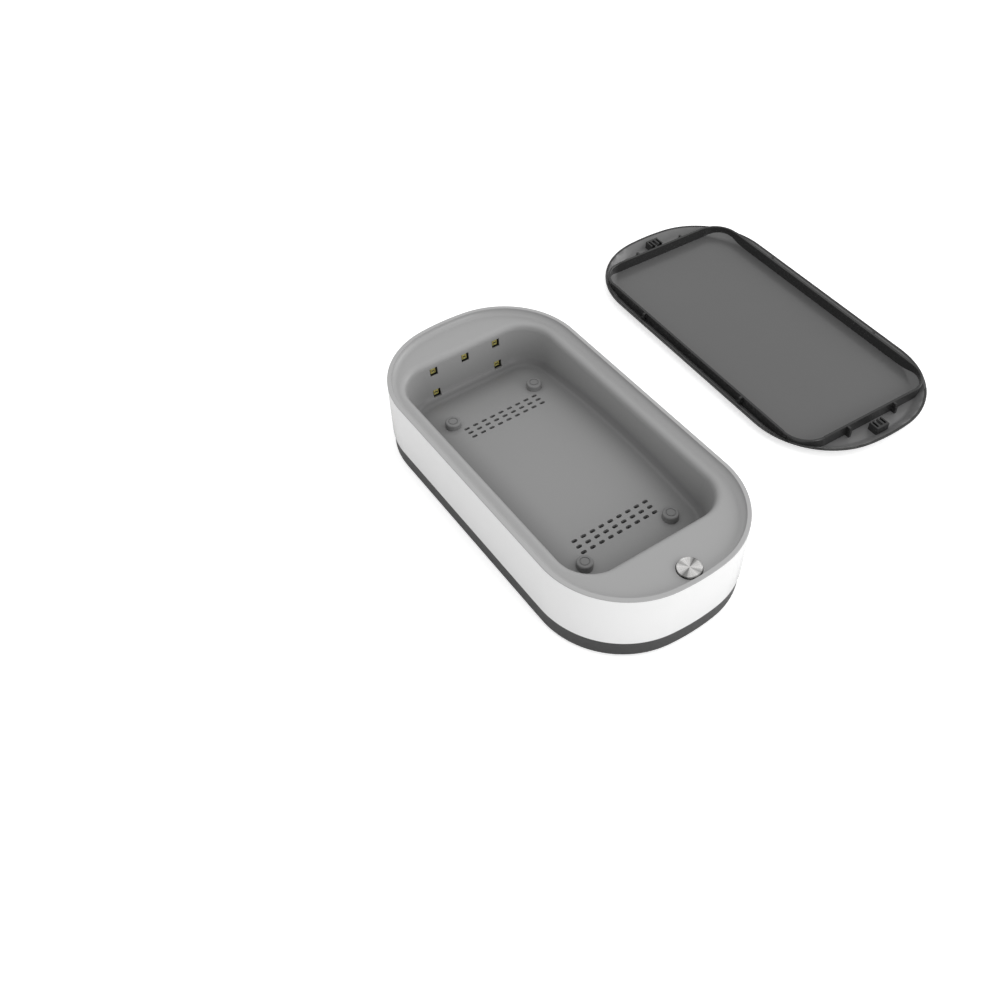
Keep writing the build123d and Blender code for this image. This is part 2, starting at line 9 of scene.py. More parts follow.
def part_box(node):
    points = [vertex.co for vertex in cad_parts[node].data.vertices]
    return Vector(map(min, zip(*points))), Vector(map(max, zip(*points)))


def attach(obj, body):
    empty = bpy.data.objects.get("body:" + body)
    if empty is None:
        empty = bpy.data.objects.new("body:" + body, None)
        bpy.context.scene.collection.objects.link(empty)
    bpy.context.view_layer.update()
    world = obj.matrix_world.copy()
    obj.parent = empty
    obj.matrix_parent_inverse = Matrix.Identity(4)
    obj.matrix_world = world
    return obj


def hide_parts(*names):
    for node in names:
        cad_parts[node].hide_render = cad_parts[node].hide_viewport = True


mm = 0.001
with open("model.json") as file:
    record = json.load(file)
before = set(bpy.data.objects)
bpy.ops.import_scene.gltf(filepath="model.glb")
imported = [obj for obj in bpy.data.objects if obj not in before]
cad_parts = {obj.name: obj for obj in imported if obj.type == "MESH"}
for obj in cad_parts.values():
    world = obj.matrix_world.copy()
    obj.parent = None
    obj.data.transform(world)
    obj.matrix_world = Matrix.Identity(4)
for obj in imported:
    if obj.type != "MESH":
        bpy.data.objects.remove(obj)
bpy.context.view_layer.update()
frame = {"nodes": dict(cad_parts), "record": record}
nodes = frame["nodes"]
print("frame loaded:", len(nodes), "nodes")


class Term:
    # wraps a socket, so that sums can be written on it; each sum adds its Math node
    def __init__(self, finish, socket):
        self.finish = finish
        self.socket = socket

    def __add__(self, other):
        return self.finish.math("ADD", self, other)

    def __sub__(self, other):
        return self.finish.math("SUBTRACT", self, other)

    def __rsub__(self, other):
        return self.finish.math("SUBTRACT", other, self)

    def __mul__(self, other):
        return self.finish.math("MULTIPLY", self, other)

    def __truediv__(self, other):
        return self.finish.math("DIVIDE", self, other)

    __radd__ = __add__
    __rmul__ = __mul__


class Finish:
    # one material, whose nodes all come from node()
    def __init__(self, name):
        self.material = bpy.data.materials.new(name)
        self.material.use_nodes = True
        self.tree = self.material.node_tree
        self.tree.nodes.clear()
        self.place = self.node("ShaderNodeTexCoord", out="Object")

    def node(self, kind, settings=None, sockets=None, out=0):
        made = self.tree.nodes.new(kind)
        for key, value in (settings or {}).items():
            setattr(made, key, value)
        for key, value in (sockets or {}).items():
            self.feed(made.inputs[key], value)
        return Term(self, made.outputs[out]) if made.outputs else None

    def feed(self, socket, value):
        if isinstance(value, Term):
            self.tree.links.new(value.socket, socket)
        else:
            socket.default_value = value

    def math(self, operation, *terms):
        sockets = dict(enumerate(terms))
        return self.node("ShaderNodeMath", {"operation": operation}, sockets)

    def axis(self, name, source=None):
        # one coordinate of the object's own space, or of another vector
        return self.node("ShaderNodeSeparateXYZ", None, {0: source or self.place}, name)

    def noise(self, scale, detail):
        sockets = {"Vector": self.place, "Scale": scale, "Detail": detail}
        return self.node("ShaderNodeTexNoise", None, sockets)

    def step(self, value, start, end):
        # 0 before start and 1 after end, with a soft turn between them
        settings = {"interpolation_type": "SMOOTHSTEP"}
        low, high, first, last = (start, end, 0.0, 1.0) if start < end else (end, start, 1.0, 0.0)
        sockets = {"Value": value, "From Min": low, "From Max": high, "To Min": first, "To Max": last}
        return self.node("ShaderNodeMapRange", settings, sockets)

    def tint(self, amount, dark, light):
        # colour between two, by a number from 0 to 1
        tones = [tone if isinstance(tone, Term) else (*tone, 1) for tone in (dark, light)]
        sockets = {"Factor": amount, 6: tones[0], 7: tones[1]}
        return self.node("ShaderNodeMix", {"data_type": "RGBA"}, sockets, 2)

    def bump(self, height, strength, distance):
        sockets = {"Height": height, "Strength": strength, "Distance": distance}
        return self.node("ShaderNodeBump", None, sockets)

    def surface(self, **sockets):
        named = {key.replace("_", " "): value for key, value in sockets.items()}
        shader = self.node("ShaderNodeBsdfPrincipled", None, named)
        self.node("ShaderNodeOutputMaterial", None, {"Surface": shader})
        return self.material


def grey(level, warm=0.0):
    return (level * (1 + warm), level, level * (1 - warm))


# Heights that the finishes and pieces share, read from the frame
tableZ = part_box("foot_1")[0].z
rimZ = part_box("tray_liner")[1].z
ledgeZ = rimZ - 3.5 * mm
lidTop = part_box("lid_shell")[0].z + 6.0 * mm

linerLook = {
    "ledge": 0.38,
    # painted highlight: the rim's top is coloured lighter than the ledge
    "rim": 0.44,
    "tub": 0.292,  # painted shade: the tub's upward faces are coloured darker than the ledge round it
    # painted shade: the tub's upright walls are coloured darker than its floor, and darker towards their foot
    # than at the ledge
    "wall": 0.258,
    "wallTop": 0.33,
    "bendShade": 0.22,  # painted shade on the rounded foot of the tub's walls
    "windowShade": 0.06,  # painted shade on the faces of the lamp windows' recesses, behind the walls
    "spread": 0.012,
    "roughness": 0.38,
    "grain": 1400.0,
    "grainDepth": 0.00002,
    "halfWidth": 46.75 * mm,  # the tub's mouth, half its width and length, and its corners
    "halfLength": 86.75 * mm,
    "middleY": 4.25 * mm,
    "corner": 19 * mm,
    "floorZ": 22.2 * mm,
    "domeRadius": 500 * mm,
    "draft": 0.105,
    "paintedFootShade": 0.44,  # how much painted shade darkens the foot of the walls
    "deepFall": (0.1 * mm, 2.5 * mm),  # where the tub's tone starts and is full, below the ledge
    "rimFall": (0.9 * mm, 0.2 * mm),  # and the rim's, below its top
    "wallFoot": 18 * mm,
    "bendRise": (9 * mm, 5 * mm),  # above the floor
    "footRise": (5.5 * mm, 0.5 * mm),
    "footIn": (24 * mm, -1 * mm),  # in from the walls
    "windowOut": (0.25 * mm, 0.6 * mm),  # out behind the walls
    "windowFall": (2.5 * mm, 3.5 * mm),
}


def tubDepths(f):
    # distance in from the tub's walls, and height above its domed floor
    p = linerLook
    across = f.math("ABSOLUTE", f.axis("X")) - (p["halfWidth"] - p["corner"])
    along = f.math("ABSOLUTE", f.axis("Y") - p["middleY"]) - (p["halfLength"] - p["corner"])
    outX, outY = f.math("MAXIMUM", across, 0.0), f.math("MAXIMUM", along, 0.0)
    corners = f.math("SQRT", outX * outX + outY * outY)
    inside = p["corner"] - (corners + f.math("MINIMUM", f.math("MAXIMUM", across, along), 0.0))
    fall = f.axis("Y") * f.axis("Y") / (2 * p["domeRadius"])
    return inside, f.axis("Z") + fall - p["floorZ"]


def linerGrey():
    p = linerLook
    f = Finish("linerGrey")
    cloud = f.noise(18.0, 3.0) - 0.5
    fine = f.noise(p["grain"], 2.0)
    deep = f.step(f.axis("Z"), *[ledgeZ - fall for fall in p["deepFall"]])
    # painted highlight on the rim's top
    rim = f.step(f.axis("Z"), *[rimZ - fall for fall in p["rimFall"]])
    up = f.axis("Z", f.node("ShaderNodeNewGeometry", out="Normal"))
    # painted shade: in the tub, upright faces take the darker wall colour, darker towards their foot
    upward = f.step(up, 0.2, 0.6)
    inside, above = tubDepths(f)
    # painted shade on the rounded foot of the walls
    bendShade = f.step(up, 0.0, 0.6) * f.step(up, 0.995, 0.85) * f.step(above, *p["bendRise"])
    wall = f.tint(f.step(f.axis("Z"), p["wallFoot"], ledgeZ), grey(p["wall"]), grey(p["wallTop"]))
    tub = f.tint(bendShade, f.tint(upward, wall, grey(p["tub"])), grey(p["bendShade"]))
    tone = f.tint(deep, f.tint(rim, grey(p["ledge"]), grey(p["rim"])), tub)
    # random patches of slightly lighter and darker tone
    mottle = f.tint(cloud + 0.5, grey(1 - 2 * p["spread"]), grey(1 + 2 * p["spread"]))
    # painted shade: darker near the foot of the walls, low down in the tub
    foot = f.step(inside, *p["footIn"]) * f.step(above, *p["footRise"])
    # painted shade on the faces of the lamp windows' recesses, behind the walls
    behind = (ledgeZ - f.axis("Z")) * p["draft"] - inside
    under = f.step(f.axis("Z"), *[ledgeZ - fall for fall in p["windowFall"]])
    windowShade = f.step(behind, *p["windowOut"]) * under
    # the painted shade of the walls' foot and the window recesses, multiplied into the colour
    paintedShade = f.tint(windowShade, f.tint(foot, grey(1), grey(1 - p["paintedFootShade"])), grey(p["windowShade"]))
    settings = {"data_type": "RGBA", "blend_type": "MULTIPLY"}
    mixed = f.node("ShaderNodeMix", settings, {0: 1.0, 6: tone, 7: mottle}, 2)
    return f.surface(
        Base_Color=f.node("ShaderNodeMix", settings, {0: 1.0, 6: mixed, 7: paintedShade}, 2),
        Roughness=p["roughness"] + (fine - 0.5) * 0.1 + deep * 0.06,
        Normal=f.bump(fine, 0.25, p["grainDepth"]),
    )


bandLook = {"white": 0.94, "roughness": 0.2, "wave": 45.0, "waveDepth": 0.00004}


def bandWhite():
    f = Finish("bandWhite")
    wave = f.noise(bandLook["wave"], 1.0)
    cloud = f.noise(9.0, 2.0)
    return f.surface(
        Base_Color=f.tint(cloud, grey(bandLook["white"] - 0.012), grey(bandLook["white"] + 0.012)),
        Roughness=bandLook["roughness"] + cloud * 0.06,
        Coat_Weight=0.3,
        Coat_Roughness=0.1,
        Normal=f.bump(wave, 0.1, bandLook["waveDepth"]),
    )


panLook = {"grey": 0.05, "roughness": 0.46, "grain": 1500.0}


def panGrey():
    f = Finish("panGrey")
    fine = f.noise(panLook["grain"], 3.0)
    cloud = f.noise(12.0, 2.0)
    return f.surface(
        Base_Color=f.tint(cloud, grey(panLook["grey"] * 0.93), grey(panLook["grey"] * 1.07)),
        Roughness=panLook["roughness"] + (fine - 0.5) * 0.2,
        Normal=f.bump(fine, 0.35, 0.00003),
    )


lidLook = {
    "panel": 0.128,
    "ends": 0.18,  # painted light: its ends outside the ribs are coloured lighter, lifting the shade that falls there
    "endY": 98.5 * mm,
    "endSoft": 1 * mm,
    "turn": math.radians(-2.1),
    "wall": 0.026,  # painted shade: upright walls are coloured darker and made less see-through, standing in for the longer path through the smoked plastic
    "veil": 0.94,
    "wallVeil": 0.985,
    "roughness": 0.24,
    # painted shade: a dark band this deep along the lid's top edge
    "rimBand": 0.4 * mm,
}


def lidSmoke():
    f = Finish("lidSmoke")
    facing = f.node("ShaderNodeNewGeometry", out="Normal")
    level = f.math("ABSOLUTE", f.axis("Z", facing))
    # painted shade: upright faces and the band along the top edge take the dark wall colour
    upright = f.step(level, 0.72, 0.4)
    high = f.step(f.axis("Z"), lidTop - lidLook["rimBand"], lidTop - 0.1 * lidLook["rimBand"])
    dark = f.math("MAXIMUM", upright, high)
    fine = f.noise(700.0, 2.0)
    cloud = f.noise(14.0, 2.0)
    panel = f.tint(cloud, grey(lidLook["panel"] * 0.97), grey(lidLook["panel"] * 1.03))
    low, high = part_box("lid_shell")
    out = f.node("ShaderNodeVectorMath", {"operation": "SUBTRACT"}, {0: f.place, 1: (low + high) / 2})
    along = (-math.sin(lidLook["turn"]), math.cos(lidLook["turn"]), 0)
    length = f.node("ShaderNodeVectorMath", {"operation": "DOT_PRODUCT"}, {0: out, 1: along}, "Value")
    endY, soft = lidLook["endY"], lidLook["endSoft"]
    # painted light: the ends outside the ribs take the lighter ends colour
    ends = f.step(f.math("ABSOLUTE", length), endY - soft, endY + soft)
    ends = ends * f.step(f.axis("Z", facing), 0.05, 0.3)
    clear = f.tint(ends, panel, grey(lidLook["ends"]))
    return f.surface(
        Base_Color=f.tint(dark, clear, grey(lidLook["wall"])),
        Alpha=lidLook["veil"] + dark * (lidLook["wallVeil"] - lidLook["veil"]),
        Roughness=lidLook["roughness"] + (fine - 0.5) * 0.1,
        Normal=f.bump(fine, 0.1, 0.00001),
    )


def rubber(name, level):
    # moulded rubber with a fine stipple
    f = Finish(name)
    fine = f.noise(1800.0, 3.0)
    cloud = f.noise(150.0, 2.0)
    return f.surface(
        Base_Color=f.tint(cloud, grey(level * 0.93), grey(level * 1.07)),
        Roughness=0.52 + (fine - 0.5) * 0.2,
        Normal=f.bump(fine, 0.3, 0.00003),
    )


def moulded(name, tone, roughness, metallic=0.0, grain=900.0):
    f = Finish(name)
    fine = f.noise(grain, 3.0)
    dark, light = ([part * k for part in tone] for k in (0.92, 1.08))
    return f.surface(
        Base_Color=f.tint(fine, dark, light),
        Roughness=roughness + (fine - 0.5) * 0.15,
        Metallic=metallic,
        Normal=f.bump(fine, 0.2, 0.00002),
    )


boardLook = {"mask": (0.004, 0.020, 0.010), "track": (0.010, 0.045, 0.022), "pitch": 900.0}


def boardMask():
    # solder mask with copper tracks showing faintly under it
    f = Finish("boardMask")
    bricks = f.node(
        "ShaderNodeTexBrick",
        {"offset": 0.5, "squash": 2.0},
        {"Vector": f.place, "Scale": boardLook["pitch"], "Mortar Size": 0.06},
        "Fac",
    )
    cloud = f.noise(300.0, 2.0)
    return f.surface(
        Base_Color=f.tint(bricks * cloud, boardLook["mask"], boardLook["track"]),
        Roughness=0.3 + cloud * 0.15,
        Normal=f.bump(bricks, 0.3, 0.00003),
    )


spunLook = {
    "dark": 0.17,
    "light": 0.95,
    "groove": 2600.0,
    "roughness": 0.28,
    "fan": 0.7,
    "fans": [(4, 2.98, 0.27), (2, 3.77, 0.15), (8, 1.26, 0.12), (23, 0.4, 0.05)],  # painted reflection fans: count, start, strength
}


def spunMetal():
    # lathe-cut rings round the button's axis, with a painted reflection in the colour that opens in fans from
    # the middle
    f = Finish("spunMetal")
    low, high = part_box("button_cap")
    middle = (low + high) / 2
    out = f.node("ShaderNodeVectorMath", {"operation": "SUBTRACT"}, {0: f.place, 1: (middle.x, middle.y, 0)})
    flat = f.node("ShaderNodeVectorMath", {"operation": "MULTIPLY"}, {0: out, 1: (1, 1, 0)})
    length = f.node("ShaderNodeVectorMath", {"operation": "LENGTH"}, {0: flat}, "Value")
    sockets = {"W": length, "Scale": spunLook["groove"]}
    groove = f.node("ShaderNodeTexNoise", {"noise_dimensions": "1D"}, sockets)
    cloud = f.noise(500.0, 2.0)
    angle = f.math("ARCTAN2", f.axis("Y", out), f.axis("X", out))
    # the fine rings vary the colour a little; the light and dark fans round the middle are a painted
    # reflection
    paintedSheen = 0.62 + (groove - 0.5) * 0.35
    for count, start, strength in spunLook["fans"]:
        paintedSheen = paintedSheen + f.math("SINE", angle * count + start) * strength
    return f.surface(
        Base_Color=f.tint(paintedSheen, grey(spunLook["dark"], 0.01), grey(spunLook["light"], 0.01)),
        Roughness=spunLook["roughness"] + (cloud - 0.5) * 0.08,
        Metallic=1.0,
        Anisotropic=spunLook["fan"],
        Normal=f.bump(groove, 0.15, 0.00002),
    )


finishes = {
    "liner": linerGrey(),
    "band": bandWhite(),
    "pan": panGrey(),
    "lid": lidSmoke(),
    "rubber": rubber("restRubber", 0.205),
    "foot": rubber("footRubber", 0.03),
    "board": boardMask(),
    "lamp": moulded("lampCeramic", (0.62, 0.58, 0.42), 0.5),
    "switch": moulded("switchBlack", grey(0.03), 0.45),
    "plunger": moulded("plungerGrey", grey(0.36), 0.5),
    "button": spunMetal(),
    "socket": moulded("socketSteel", grey(0.62), 0.28, 1.0),
    "screw": moulded("screwZinc", grey(0.52, 0.02), 0.32, 1.0),
    "magnet": moulded("magnetNickel", grey(0.62), 0.2, 1.0),
}
lampYellow = moulded("lampPhosphor", (0.40, 0.38, 0.12), 0.4)
contactGold = moulded("contactGold", (0.80, 0.55, 0.20), 0.25, 1.0)
tongueBlack = moulded("tongueBlack", grey(0.02), 0.5)
for part in frame["record"]["subparts"]:
    dressed = nodes[part["node"]]
    dressed.data.materials.clear()
    dressed.data.materials.append(finishes[part["material_slot"]])
print("finishes made:", len(finishes) + 3)


def newMesh(name, verts, edges, faces):
    mesh = bpy.data.meshes.new(name)
    mesh.from_pydata(verts, edges, faces)
    return mesh


def helper(name, mesh):
    # an object that only feeds a tree, and goes once the tree has run
    made = bpy.data.objects.new(name, mesh)
    bpy.context.scene.collection.objects.link(made)
    return made


def plainMesh(host):
    # the host's mesh with its modifiers applied
    bpy.context.view_layer.update()
    seen = host.evaluated_get(bpy.context.evaluated_depsgraph_get())
    return bpy.data.meshes.new_from_object(seen)


def lathe(name, profile, sides):
    # closed solid of revolution about Z, from (radius, height) points that start and end on the axis
    verts, rows, faces = [], [], []
    for radius, height in profile:
        row = []
        for step in range(1 if radius == 0 else sides):
            turn = 2 * math.pi * step / sides
            row.append(len(verts))
            verts.append((radius * math.cos(turn), radius * math.sin(turn), height))
        rows.append(row)
    for low, high in zip(rows, rows[1:]):
        for step in range(sides):
            after = (step + 1) % sides
            under = [low[step % len(low)], low[after % len(low)]]
            over = [high[after % len(high)], high[step % len(high)]]
            faces.append(list(dict.fromkeys(under + over)))
    mesh = newMesh(name, verts, [], faces)
    return outwards(mesh)


def outwards(mesh):
    shape = bmesh.new()
    shape.from_mesh(mesh)
    bmesh.ops.remove_doubles(shape, verts=shape.verts, dist=1e-7)
    bmesh.ops.recalc_face_normals(shape, faces=shape.faces)
    shape.to_mesh(mesh)
    shape.free()
    return mesh


def islands(node):
    # boxes of the separate solids in a CAD node, read from a merged copy of its mesh
    shape = bmesh.new()
    shape.from_mesh(nodes[node].data)
    bmesh.ops.remove_doubles(shape, verts=shape.verts, dist=1e-6)
    left, boxes = set(shape.verts), []
    while left:
        reached, edge = set(), [left.pop()]
        while edge:
            vert = edge.pop()
            reached.add(vert)
            near = {e.other_vert(vert) for e in vert.link_edges} & left
            left -= near
            edge += near
        spans = [[v.co[k] for v in reached] for k in range(3)]
        boxes.append((Vector(map(min, spans)), Vector(map(max, spans))))
    shape.free()
    return sorted(boxes, key=lambda box: (round(box[0].x, 4), round(box[0].y, 4)))


class Grower:
    # a Geometry Nodes tree with named inputs, grown on a helper object and then made plain
    def __init__(self, name, inputs):
        self.tree = bpy.data.node_groups.new(name, "GeometryNodeTree")
        self.tree.interface.new_socket("Geometry", in_out="INPUT", socket_type="NodeSocketGeometry")
        self.sockets = {}
        for key, value in inputs.items():
            kind = "Object" if isinstance(value, bpy.types.Object) else "Float"
            made = self.tree.interface.new_socket(key, in_out="INPUT", socket_type="NodeSocket" + kind)
            self.sockets[key] = (made.identifier, value)
        self.tree.interface.new_socket("Geometry", in_out="OUTPUT", socket_type="NodeSocketGeometry")
        self.entry = self.tree.nodes.new("NodeGroupInput")

    def node(self, kind, settings=None, sockets=None, out=0):
        made = self.tree.nodes.new(kind)
        for key, value in (settings or {}).items():
            setattr(made, key, value)
        for key, value in (sockets or {}).items():
            for source in value if isinstance(value, list) else [value]:
                if isinstance(source, bpy.types.NodeSocket):
                    self.tree.links.new(source, made.inputs[key])
                else:
                    made.inputs[key].default_value = source
        return made.outputs[out]

    def given(self, name):
        return self.entry.outputs[name]

    def sweep(self, capped):
        # the input Profile, carried upright along the host's edges
        path = self.node("GeometryNodeMeshToCurve", None, {0: self.given("Geometry")})
        upright = self.node("GeometryNodeSetCurveNormal", {"mode": "Z_UP"}, {0: path})
        edge = self.node("GeometryNodeObjectInfo", None, {"Object": self.given("Profile")}, "Geometry")
        around = self.node("GeometryNodeMeshToCurve", None, {0: edge})
        sized = self.node("GeometryNodeTransform", None, {"Geometry": around, "Scale": self.given("Scale")})
        sockets = {"Curve": upright, "Profile Curve": sized, "Fill Caps": capped}
        return self.node("GeometryNodeCurveToMesh", None, sockets)

    def finish(self, geometry, finish):
        plain = self.node("GeometryNodeRealizeInstances", None, {0: geometry})
        return self.node("GeometryNodeSetMaterial", None, {"Geometry": plain, "Material": finish})

    def grow(self, host, geometry):
        leave = self.tree.nodes.new("NodeGroupOutput")
        self.tree.links.new(geometry, leave.inputs[0])
        grown = host.modifiers.new("grown", "NODES")
        grown.node_group = self.tree
        for identifier, value in self.sockets.values():
            grown[identifier] = value
        mesh = plainMesh(host)
        host.modifiers.remove(grown)
        given = [value for _, value in self.sockets.values()]
        for spare in [host] + [value for value in given if isinstance(value, bpy.types.Object)]:
            bpy.data.objects.remove(spare)
        return mesh


def settle(name, mesh, body, slot, replaced=(), smooth=35):
    # the finished piece, shaded smooth but for its sharp edges
    piece = bpy.data.objects.new(name, mesh)
    bpy.context.scene.collection.objects.link(piece)
    shape = bmesh.new()
    shape.from_mesh(mesh)
    for face in shape.faces:
        face.smooth = True
    for edge in shape.edges:
        edge.smooth = len(edge.link_faces) == 2 and edge.calc_face_angle(0) < math.radians(smooth)
    shape.to_mesh(mesh)
    shape.free()
    if not mesh.materials:
        mesh.materials.append(finishes[slot])
    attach(piece, body)
    if replaced:
        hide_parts(*replaced)
    print("piece:", name, len(mesh.polygons), "faces")
    return piece


def strewn(name, points, aims, templates):
    # each template with its finish, stood on every point with its Z along the point's aim
    mesh = newMesh(name, points, [], [])
    aim = mesh.attributes.new("aim", "FLOAT_VECTOR", "POINT")
    for slot, value in zip(aim.data, aims):
        slot.vector = value
    host = helper(name, mesh)
    inputs = {"Size": 1.0}
    inputs.update({f"Shape {n}": helper(shape.name, shape) for n, (shape, _) in enumerate(templates)})
    g = Grower(name, inputs)
    named = g.node("GeometryNodeInputNamedAttribute", {"data_type": "FLOAT_VECTOR"}, {"Name": "aim"})
    turn = g.node("FunctionNodeAlignRotationToVector", {"axis": "Z"}, {"Vector": named})
    parts = []
    for n, (_, finish) in enumerate(templates):
        shape = g.node("GeometryNodeObjectInfo", None, {"Object": g.given(f"Shape {n}")}, "Geometry")
        sockets = {"Points": g.given("Geometry"), "Instance": shape}
        sockets.update({"Rotation": turn, "Scale": g.given("Size")})
        parts.append(g.finish(g.node("GeometryNodeInstanceOnPoints", None, sockets), finish))
    return g.grow(host, g.node("GeometryNodeJoinGeometry", None, {0: parts}))


def blockMesh(name, size, bevel, low=0.0):
    # box standing on height low, with rounded edges
    shape = bmesh.new()
    bmesh.ops.create_cube(shape, size=1)
    for vert in shape.verts:
        vert.co = Vector((vert.co.x * size[0], vert.co.y * size[1], (vert.co.z + 0.5) * size[2] + low))
    bmesh.ops.bevel(shape, geom=shape.edges[:], offset=bevel, segments=2, profile=0.5, affect="EDGES")
    mesh = bpy.data.meshes.new(name)
    shape.to_mesh(mesh)
    shape.free()
    return mesh


lampPiece = {
    "side": 3.5 * mm,
    "height": 1.8 * mm,
    "tilt": math.radians(6),  # the end walls' draft
    "glass": 3.3 * mm,
    "lens": 1.1 * mm,
    "chip": 0.7 * mm,
    "chipHeight": 0.2 * mm,
    "pad": (0.4 * mm, 2.2 * mm, 0.12 * mm),
    "padOut": 1.05 * mm,
    "sunk": {"body": 0.5 * mm, "glass": 0.52 * mm, "chip": 0.62 * mm, "pad": 0.58 * mm},  # into what is below
}


def lampsFor(side, end):
    p = lampPiece
    names = [f"uv_led_{side}_{n}" for n in range(1, 6)]
    boxes = [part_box(name) for name in names]
    middles = [(low + high) / 2 for low, high in boxes]
    aim = Vector((0, -end * math.cos(p["tilt"]), math.sin(p["tilt"])))
    half, sunk = p["height"] / 2, p["sunk"]
    body = blockMesh("lampBody", (p["side"], p["side"], p["height"] - sunk["body"]), 0.12 * mm, -half)
    glass = blockMesh("lampGlass", (p["glass"], p["glass"], p["lens"]), 0.1 * mm, half - sunk["glass"])
    chipSize = (0.5 * p["glass"], p["chip"], p["chipHeight"])
    chip = blockMesh("lampChip", chipSize, 0.05 * mm, half - sunk["chip"] + p["lens"])
    templates = [(body, finishes["lamp"]), (glass, lampYellow), (chip, tongueBlack)]
    for k, way in enumerate((-1, 1)):
        pad = blockMesh(f"lampPad{k}", p["pad"], 0.03 * mm, half - sunk["pad"] + p["lens"])
        pad.transform(Matrix.Translation((way * p["padOut"], 0, 0)))
        templates.append((pad, contactGold))
    mesh = strewn(f"lamps_{side}", middles, [aim] * 5, templates)
    return settle(f"lamps_{side}", mesh, "housing", "lamp", names)


lampsFor("far", 1)
lampsFor("near", -1)

screwPiece = {
    "head": 2.8 * mm,
    "headHeight": 1.8 * mm,
    "crown": [(0.75, 0), (0.93, 0.22 * mm), (1, 0.7 * mm)],  # shares of the head's radius, and heights
    "shank": 1.4 * mm,
    "root": 0.8,  # a share of the shank
    "thread": 0.9 * mm,
    "plainEnd": 1.5 * mm,
    "tip": 0.25 * mm,
    "short": 0.05 * mm,  # kept inside the place of the node it replaces
    "recess": 0.7 * mm,
    "recessReach": 1.15,
    "recessDepth": 1.0 * mm,
}


def caseScrews():
    p = screwPiece
    boxes = islands("case_screws")
    seat = p["headHeight"]
    reach = boxes[0][1].z - boxes[0][0].z
    root, end = p["shank"] * p["root"], reach - p["short"]
    profile = [(0, 0)] + [(share * p["head"], height) for share, height in p["crown"]] + [(p["head"], seat)]
    height = seat
    while height + p["thread"] < reach - p["plainEnd"]:
        profile += [(root, height + 0.05 * mm), (p["shank"], height + p["thread"] / 2)]
        height += p["thread"]
    profile += [(root, height + 0.1 * mm), (p["tip"], end), (0, end)]
    shape = helper("screwShape", lathe("screwShape", profile, 24))
    recess = (p["recessReach"] * p["head"], p["recess"], 2 * p["recessDepth"])
    for turn in (0, 90):
        cutter = helper("cut", blockMesh("cut", recess, 0.04 * mm, -p["recessDepth"]))
        cutter.rotation_euler.z = math.radians(turn)
        slot = shape.modifiers.new("slot", "BOOLEAN")
        slot.operation = "DIFFERENCE"
        slot.object = cutter
    cutMesh = plainMesh(shape)
    for spare in [shape] + [slot.object for slot in shape.modifiers]:
        bpy.data.objects.remove(spare)
    places = [((low.x + high.x) / 2, (low.y + high.y) / 2, low.z) for low, high in boxes]
    mesh = strewn("case_fasteners", places, [Vector((0, 0, 1))] * len(places), [(cutMesh, finishes["screw"])])
    return settle("case_fasteners", mesh, "housing", "screw", ["case_screws"])


caseScrews()

capPiece = {
    "foot": 0.1 * mm,
    "edge": 0.45 * mm,
    "edgeIn": 0.12 * mm,
    "step": (0.8 * mm, 0.95 * mm),  # where the step inside the rim starts and ends
    "drop": 0.05 * mm,
    "dish": 0.25 * mm,
    "rings": 8,
    "sides": 96,
}


def buttonDisc():
    # turned cap: chamfered rim, a bright step inside it and a slightly dished face
    p = capPiece
    low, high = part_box("button_cap")
    radius, top, middle = (high.x - low.x) / 2, high.z, (low + high) / 2
    stepOut, stepIn = p["step"]
    profile = [(0, low.z), (radius - p["foot"], low.z), (radius, low.z + p["foot"])]
    profile += [(radius, top - p["edge"]), (radius - p["edgeIn"], top - 0.6 * p["edge"])]
    profile += [(radius - p["edge"], top), (radius - stepOut, top)]
    for ring in range(p["rings"] + 1):
        share = 1 - ring / p["rings"]
        profile.append(((radius - stepIn) * share, top - p["drop"] - p["dish"] * (1 - share**2)))
    mesh = lathe("button_disc", profile, p["sides"])
    mesh.transform(Matrix.Translation((middle.x, middle.y, 0)))
    return settle("button_disc", mesh, "button", "button", ["button_cap"], 30)


buttonDisc()

bandPiece = {
    "corner": 48.7 * mm,  # arcs of the body's outline
    "end": 130 * mm,
    "wall": 2.2 * mm,
    "lip": 1.2 * mm,  # thinner stretch beside the liner's skirt
    "lipZ": 34.85 * mm,
    "edge": 0.45 * mm,
    "portWidth": 9.44 * mm,
    "portHeight": 3.7 * mm,
    "portZ": 21 * mm,
    "portOut": 2 * mm,  # the cutter's start, outside the band
    "portDeep": 8 * mm,
    "steps": 28,
    "endSteps": 12,
}


def bodyOutline(inset=0.0):
    # the body's plan, walked once round: two long sides, four corner arcs and two shallow end arcs
    p = bandPiece
    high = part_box("outer_band")[1]
    cornerX, endY = high.x - p["corner"], high.y - p["end"]
    cornerY = endY + math.sqrt((p["end"] - p["corner"]) ** 2 - cornerX**2)
    turn = math.atan2(cornerY - endY, cornerX)
    corner, end = p["corner"] - inset, p["end"] - inset
    quarter = []
    for k in range(p["steps"] + 1):
        at = turn * k / p["steps"]
        quarter.append((cornerX + corner * math.cos(at), cornerY + corner * math.sin(at)))
    for k in range(1, p["endSteps"] + 1):
        at = turn + (math.pi / 2 - turn) * k / p["endSteps"]
        quarter.append((end * math.cos(at), endY + end * math.sin(at)))
    half = quarter + [(-x, y) for x, y in reversed(quarter[:-1])]
    return half + [(-x, -y) for x, y in half]


def stadium(width, height, sides=16):
    points = []
    for k in range(sides):
        at = -math.pi / 2 + math.pi * k / (sides - 1)
        points.append(((width - height) / 2 + height / 2 * math.cos(at), height / 2 * math.sin(at)))
    return points + [(-x, -y) for x, y in points]


def loopMesh(name, points):
    edges = [(k, (k + 1) % len(points)) for k in range(len(points))]
    return newMesh(name, points, edges, [])


